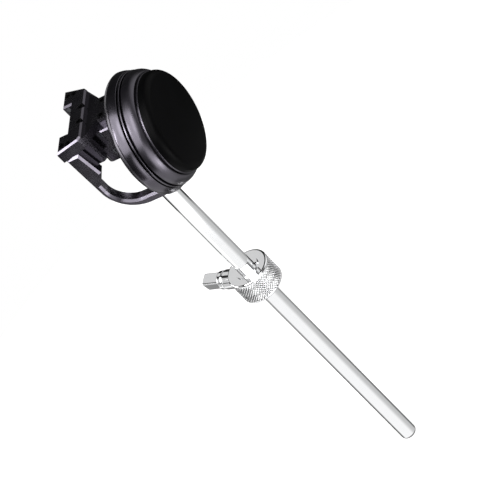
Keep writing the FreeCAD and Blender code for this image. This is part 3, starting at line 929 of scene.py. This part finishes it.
@dataclass(frozen=True)
class Glow:
    """A pale wall of the studio that only shiny surfaces show: its way, reach and level.

    The reach is given as cosines of the angle from the way: where the wall fades out, and where it
    is at its full level.
    """

    toward: tuple[float, float, float]
    fades_from: float
    full_from: float
    level: float


@dataclass(frozen=True)
class Fade:
    """A smooth change of the level of the sheet's painted reflection, over a stretch of what it
    follows.

    The start and the end are levels, or the names of earlier fades.
    """

    name: str
    follows: Follows
    stretch: tuple[float, float]
    start: float | str
    end: float | str


@dataclass(frozen=True)
class Camera:
    """The photograph's view: its place and lens in millimetres, and the three ways of its frame.

    The two clipping distances are in metres.
    """

    place: tuple[float, float, float] = (-746.307, -495.689, 804.961)
    right: tuple[float, float, float] = (0.04124, -0.82569, -0.56261)
    up: tuple[float, float, float] = (0.7391, -0.3537, 0.57326)
    back: tuple[float, float, float] = (-0.67233, -0.43946, 0.59568)
    lens: float = 183.203
    sensor: float = 36.0
    clip: tuple[float, float] = (0.05, 20.0)

    def build(self) -> None:
        """Adds the camera and makes it the scene's own."""
        data = bpy.data.cameras.new("photo_view")
        data.lens, data.sensor_width, data.sensor_fit = self.lens, self.sensor, "HORIZONTAL"
        data.clip_start, data.clip_end = self.clip
        ways, place = (self.right, self.up, self.back), np.array(self.place) * MM
        bpy.context.scene.camera = set_up("photo_view", data, ways, place)

    def world_way(self, way: tuple[float, float, float]) -> tuple[float, float, float]:
        """Turns a way given as right, up and towards the camera into one of the beater's frame."""
        turned = np.array([self.right, self.up, self.back]).T @ np.array(way)
        return tuple((turned / np.linalg.norm(turned)).tolist())


@dataclass
class Studio:
    """White surroundings: two softboxes, six small cards, pale walls and a white sheet that shows a
    painted reflection.

    The sheet's sizes are in millimetres. Levels are strengths of light, where one is white.
    """

    camera: Camera
    sheet_radius: float = 440.0
    sheet_top: float = -81.5
    sheet_thickness: float = 2.0
    sheet_edge: float = 0.5
    sheet_tone: str = "#c4c4c4"
    sheet_lift: float = 0.6
    room_level: float = 0.03
    # The levels below paint the sheet's reflection: painted shade under the beater, on its right and
    # beyond the rod, and a painted highlight brighter than white at its rim.
    under_painted_shade: float = 0.09
    side_painted_shade: float = 0.58
    rim_painted_glow: tuple[float, float] = (0.3, 2.5)
    far_painted_shade: tuple[float, float] = (0.16, 0.36)

    def build(self) -> None:
        """Builds the camera, the lamps, the world and the floor."""
        bpy.context.scene.view_settings.view_transform = "Standard"
        self.camera.build()
        for lamp in self.lamps():
            lamp.build()
        self.world()
        self.sheet()

    def lamps(self) -> list[Softbox]:
        """Lists the lamps: a softbox in front, one behind, and cards that light one edge or side.

        Returns:
            The lamps.
        """
        way, weight = self.camera.world_way, WEIGHT_HEIGHT
        front, rear = way((-0.46, 0.04, 0.89)), way((-0.94, -0.2, -0.29))
        bow, ear = (-0.624, 0.413, 0.665), (-0.577, 0.171, 0.798)
        above, before = (0.59, 0.54, 0.61), (0.07, -0.797, 0.6)
        behind, below = (-0.3, 0.82, 0.48), (-0.5, 0.83, -0.25)
        return [
            Softbox("main_softbox", front, distance=1.2, size=1.65, watts=31.0),
            Softbox("rear_softbox", rear, distance=1.2, size=0.8, watts=6.5),
            Softbox("bow_edge_card", bow, distance=0.109, size=0.024, watts=0.036),
            Softbox("ear_edge_card", ear, distance=0.1, size=0.02, watts=0.016),
            Softbox("weight_top_card", above, distance=0.2, size=0.09, watts=0.016, aim=weight),
            Softbox("weight_front_card", before, distance=0.2, size=0.18, watts=0.018, aim=weight),
            Softbox("weight_rear_card", behind, distance=0.22, size=0.14, watts=0.035, aim=weight),
            Softbox("weight_low_card", below, distance=0.2, size=0.14, watts=0.035, aim=weight),
        ]

    def glows(self) -> list[Glow]:
        """Lists the pale walls: one behind the camera, three in front of the rod, one on its right.

        Returns:
            The walls.
        """
        way = self.camera.world_way
        return [
            Glow(way((-0.02, 0.32, 0.95)), fades_from=0.92, full_from=0.99, level=3.2),
            Glow(way((0.5, -0.5, 0.71)), fades_from=0.9, full_from=0.975, level=2.2),
            Glow(way((0.66, -0.64, 0.38)), fades_from=0.9, full_from=0.975, level=2.0),
            Glow(way((0.86, -0.41, 0.31)), fades_from=0.955, full_from=0.985, level=6.0),
            Glow((0.62, -0.77, 0.14), fades_from=0.72, full_from=0.93, level=0.9),
        ]

    def fades(self) -> list[Fade]:
        """Lists the painted reflection that shiny surfaces see on the sheet.

        To these it is white on the camera's side, with a painted highlight towards its rim, painted
        shade greyer on its right, and painted shade dark beyond the rod, under the beater and at its
        edge.

        Returns:
            The fades, each after those that it takes up. The last is the whole sheet's.
        """
        reach, facing, beside = Follows.REACH, Follows.FACING, Follows.BESIDE
        return [
            Fade("rim", facing, (-0.1, 0.3), *self.rim_painted_glow),
            Fade("outward", reach, (0.36, 0.41), 1.0, "rim"),
            Fade("sideways", beside, (0.2, 1.0), "outward", self.side_painted_shade),
            Fade("near_edge", reach, (0.42, 0.445), "sideways", self.room_level),
            Fade("near", reach, (0.1, 0.118), self.under_painted_shade, "near_edge"),
            Fade("beyond", reach, (0.12, 0.33), *self.far_painted_shade),
            Fade("far", reach, (0.385, 0.395), "beyond", self.room_level),
            Fade("whole", facing, (-0.5, -0.08), "far", "near"),
        ]

    def world(self) -> None:
        """Builds the world: white to the camera, a dark room with pale walls to everything else."""
        world = bpy.data.worlds.new("studio")
        bpy.context.scene.world = world
        tree = empty_tree(world)
        way = add_node(tree, "ShaderNodeTexCoord").outputs["Generated"]
        path = add_node(tree, "ShaderNodeLightPath").outputs
        total = self.room_level
        for glow in self.glows():
            facing = add_node(tree, "ShaderNodeVectorMath", {"operation": "DOT_PRODUCT"}, {
                0: way, 1: glow.toward,
            }).outputs["Value"]
            level = add_node(tree, "ShaderNodeMapRange", {"interpolation_type": "SMOOTHSTEP"}, {
                "Value": facing, "From Min": glow.fades_from, "From Max": glow.full_from,
                "To Min": 0.0, "To Max": glow.level,
            }).outputs["Result"]
            total = add_node(tree, "ShaderNodeMath", {"operation": "ADD"}, {
                0: level, 1: total,
            }).outputs[0]
        seen = add_node(tree, "ShaderNodeMix", {"data_type": "FLOAT"}, {
            MIX_SHARE: path["Is Camera Ray"], MIX_NUMBER_A: total, MIX_NUMBER_B: 1.0,
        }).outputs[MIXED_NUMBER]
        light = add_node(tree, "ShaderNodeBackground", inputs={
            "Color": linear(WHITE), "Strength": seen,
        }).outputs["Background"]
        add_node(tree, "ShaderNodeOutputWorld", inputs={"Surface": light})

    def sheet(self) -> None:
        """Builds the white sheet below the beater, which keeps its shadow and shows shiny surfaces a
        painted reflection.
        """
        low = self.sheet_top - self.sheet_thickness
        sheet = revolved("floor_sheet", UPRIGHT, eased([
            (0.0, low, 0.0),
            (self.sheet_radius, low, self.sheet_edge),
            (self.sheet_radius, self.sheet_top, self.sheet_edge),
            (0.0, self.sheet_top, 0.0),
        ]), Ends.POLES)
        sheet.data.materials.append(self.paper())

    def paper(self) -> bpy.types.Material:
        """Builds the sheet's paper: lifted to white for the camera, and a painted reflection, faded
        in levels, for shiny surfaces.

        Returns:
            The material.
        """
        material = bpy.data.materials.new("pale_paper_painted_reflection")
        tree = empty_tree(material)
        place = add_node(tree, "ShaderNodeTexCoord").outputs["Object"]
        flat = add_node(tree, "ShaderNodeVectorMath", {"operation": "MULTIPLY"}, {
            0: place, 1: (1.0, 1.0, 0.0),
        }).outputs["Vector"]
        out = add_node(tree, "ShaderNodeVectorMath", {"operation": "NORMALIZE"}, {
            0: flat,
        }).outputs["Vector"]
        followed = {Follows.REACH: add_node(tree, "ShaderNodeVectorMath", {"operation": "LENGTH"}, {
            0: place,
        }).outputs["Value"]}
        x, y = (np.array(self.camera.back[:2]) / np.linalg.norm(self.camera.back[:2])).tolist()
        for name, way in ((Follows.FACING, (x, y, 0.0)), (Follows.BESIDE, (-y, x, 0.0))):
            followed[name] = add_node(tree, "ShaderNodeVectorMath", {"operation": "DOT_PRODUCT"}, {
                0: out, 1: way,
            }).outputs["Value"]
        levels: dict[str, bpy.types.NodeSocket] = {}
        for fade in self.fades():
            low, high = fade.stretch
            start, end = (levels.get(side, side) for side in (fade.start, fade.end))
            level = add_node(tree, "ShaderNodeMapRange", {"interpolation_type": "SMOOTHSTEP"}, {
                "Value": followed[fade.follows], "From Min": low, "From Max": high,
                "To Min": start, "To Max": end,
            })
            levels[fade.name] = level.outputs["Result"]
        path = add_node(tree, "ShaderNodeLightPath").outputs
        shiny = add_node(tree, "ShaderNodeMath", {"operation": "MAXIMUM"}, {
            0: path["Is Glossy Ray"], 1: path["Is Transmission Ray"],
        }).outputs[0]
        lift = add_node(tree, "ShaderNodeMath", {"operation": "MULTIPLY"}, {
            0: path["Is Camera Ray"], 1: self.sheet_lift,
        }).outputs[0]
        diffuse = add_node(tree, "ShaderNodeBsdfDiffuse", inputs={"Color": linear(self.sheet_tone)})
        # The second emission paints the reflection, with its painted highlight and painted shade,
        # that shiny surfaces see.
        lifted, painted_reflection = (
            add_node(tree, "ShaderNodeEmission", inputs={"Color": linear(WHITE), "Strength": level})
            for level in (lift, levels["whole"])
        )
        plain = add_node(tree, "ShaderNodeAddShader", inputs={
            0: diffuse.outputs[0], 1: lifted.outputs[0],
        })
        whole = add_node(tree, "ShaderNodeMixShader", inputs={
            0: shiny, 1: plain.outputs[0], 2: painted_reflection.outputs[0],
        })
        add_node(tree, "ShaderNodeOutputMaterial", inputs={"Surface": whole.outputs[0]})
        return material


def main() -> None:
    """Builds the studio and the sub-assemblies in order."""
    logging.basicConfig(level=logging.INFO, format="%(message)s")
    Studio(Camera()).build()
    for group in (Shaft(), StrikingHead(), Carrier(), WeightCollar(), KeyScrew()):
        group.build()


if __name__ == "__main__":
    main()
